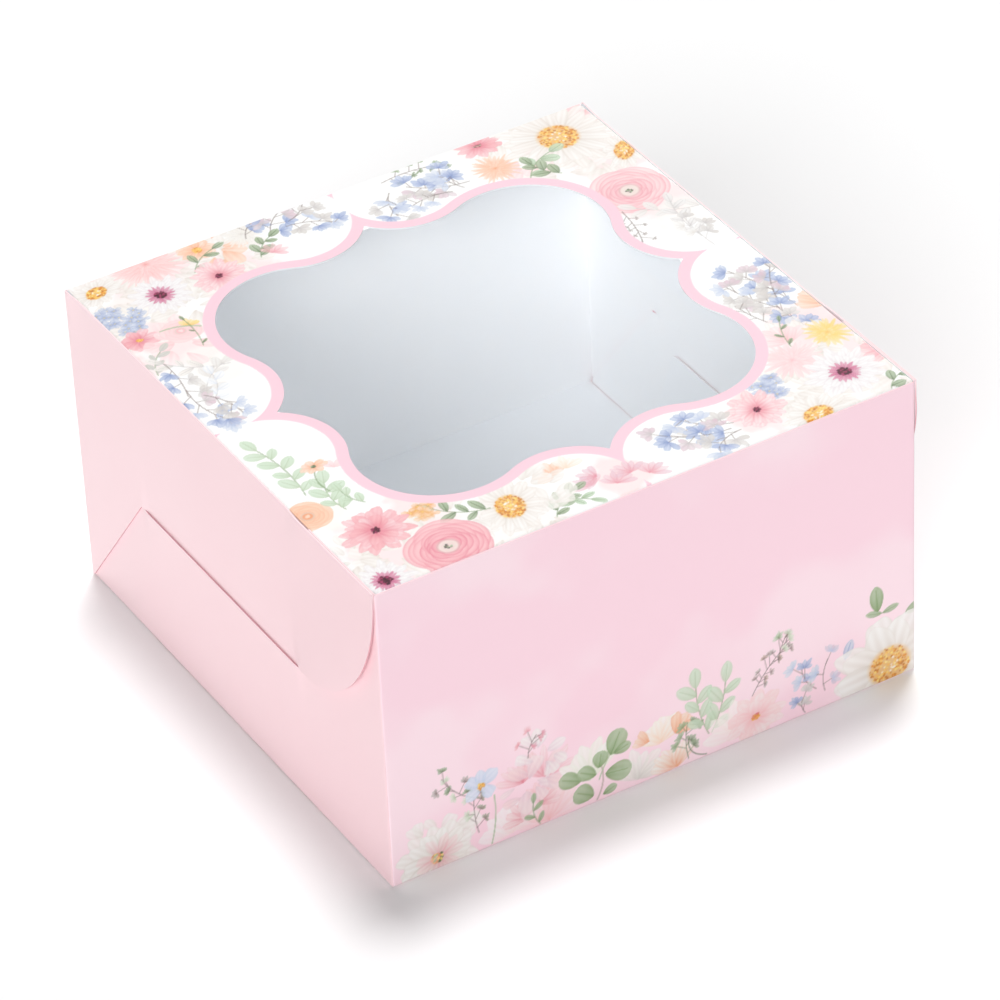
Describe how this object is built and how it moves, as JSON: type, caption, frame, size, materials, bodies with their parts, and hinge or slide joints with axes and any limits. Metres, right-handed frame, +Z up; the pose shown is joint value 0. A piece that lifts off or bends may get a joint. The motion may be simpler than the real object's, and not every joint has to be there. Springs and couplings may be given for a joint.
{
  "type": "flower box",
  "caption": "Square folding paperboard box for flowers: hinged lid with a clear film window, hooked side flaps and walls that fold flat.",
  "frame": {"origin": "centre of the bottom panel's underside, on the table", "axes": "+X to the right along the front, +Y from the front to the back, +Z up"},
  "size_m": [0.178, 0.178, 0.103],
  "materials": {
    "printed_board": "satin, coated and printed",
    "plain_board": "uncoated white",
    "clear_film": "clear gloss",
    "glue_line": "dried clear glue"
  },
  "bodies": {
    "base": {"bottom_panel": "plain_board"},
    "back": {"back_wall": "printed_board"},
    "front": {"front_wall": "printed_board"},
    "lid": {"lid_panel": "printed_board", "window_film": "clear_film", "film_glue": "glue_line"},
    "tuck": {"tuck_flap": "plain_board"},
    "rear_flap_right": {"rear_flap_right": "printed_board"},
    "rear_flap_left": {"rear_flap_left": "printed_board"},
    "front_flap_right": {"front_flap_right": "printed_board"},
    "front_flap_left": {"front_flap_left": "printed_board"},
    "base_flap_right": {"base_flap_right": "plain_board"},
    "base_flap_left": {"base_flap_left": "plain_board"},
    "dust_flap_right": {"dust_flap_right": "plain_board"},
    "dust_flap_left": {"dust_flap_left": "plain_board"}
  },
  "joints": [
    {"name": "back_wall_fold", "type": "hinge", "parent": "base", "child": "back", "pos_m": [0, 0.089, 0], "axis": [-1, 0, 0], "range_deg": [0, 90]},
    {"name": "front_wall_fold", "type": "hinge", "parent": "base", "child": "front", "pos_m": [0, -0.089, 0], "axis": [1, 0, 0], "range_deg": [0, 90]},
    {"name": "lid_fold", "type": "hinge", "parent": "back", "child": "lid", "pos_m": [0, 0.089, 0.103], "axis": [-1, 0, 0], "range_deg": [0, 90]},
    {"name": "tuck_fold", "type": "hinge", "parent": "lid", "child": "tuck", "pos_m": [0, -0.088, 0.10245], "axis": [1, 0, 0], "range_deg": [0, 78]},
    {"name": "rear_flap_right_fold", "type": "hinge", "parent": "back", "child": "rear_flap_right", "pos_m": [0.089, 0.089, 0], "axis": [0, 0, 1], "range_deg": [0, 90]},
    {"name": "front_flap_right_fold", "type": "hinge", "parent": "front", "child": "front_flap_right", "pos_m": [0.08845, -0.089, 0], "axis": [0, 0, -1], "range_deg": [0, 90]},
    {"name": "base_flap_right_fold", "type": "hinge", "parent": "base", "child": "base_flap_right", "pos_m": [0.0879, 0, 0], "axis": [0, 1, 0], "range_deg": [0, 90]},
    {"name": "dust_flap_right_fold", "type": "hinge", "parent": "lid", "child": "dust_flap_right", "pos_m": [0.08745, 0, 0.10245], "axis": [0, 1, 0], "range_deg": [0, 80]},
    {"name": "rear_flap_left_fold", "type": "hinge", "parent": "back", "child": "rear_flap_left", "pos_m": [-0.089, 0.089, 0], "axis": [0, 0, -1], "range_deg": [0, 90]},
    {"name": "front_flap_left_fold", "type": "hinge", "parent": "front", "child": "front_flap_left", "pos_m": [-0.08845, -0.089, 0], "axis": [0, 0, 1], "range_deg": [0, 90]},
    {"name": "base_flap_left_fold", "type": "hinge", "parent": "base", "child": "base_flap_left", "pos_m": [-0.0879, 0, 0], "axis": [0, -1, 0], "range_deg": [0, 90]},
    {"name": "dust_flap_left_fold", "type": "hinge", "parent": "lid", "child": "dust_flap_left", "pos_m": [-0.08745, 0, 0.10245], "axis": [0, -1, 0], "range_deg": [0, 80]}
  ],
  "couplings": [
    {"joint": "front_flap_right_fold", "follows": "rear_flap_right_fold", "ratio": 1},
    {"joint": "base_flap_right_fold", "follows": "rear_flap_right_fold", "ratio": 1},
    {"joint": "front_flap_left_fold", "follows": "rear_flap_left_fold", "ratio": 1},
    {"joint": "base_flap_left_fold", "follows": "rear_flap_left_fold", "ratio": 1}
  ]
}
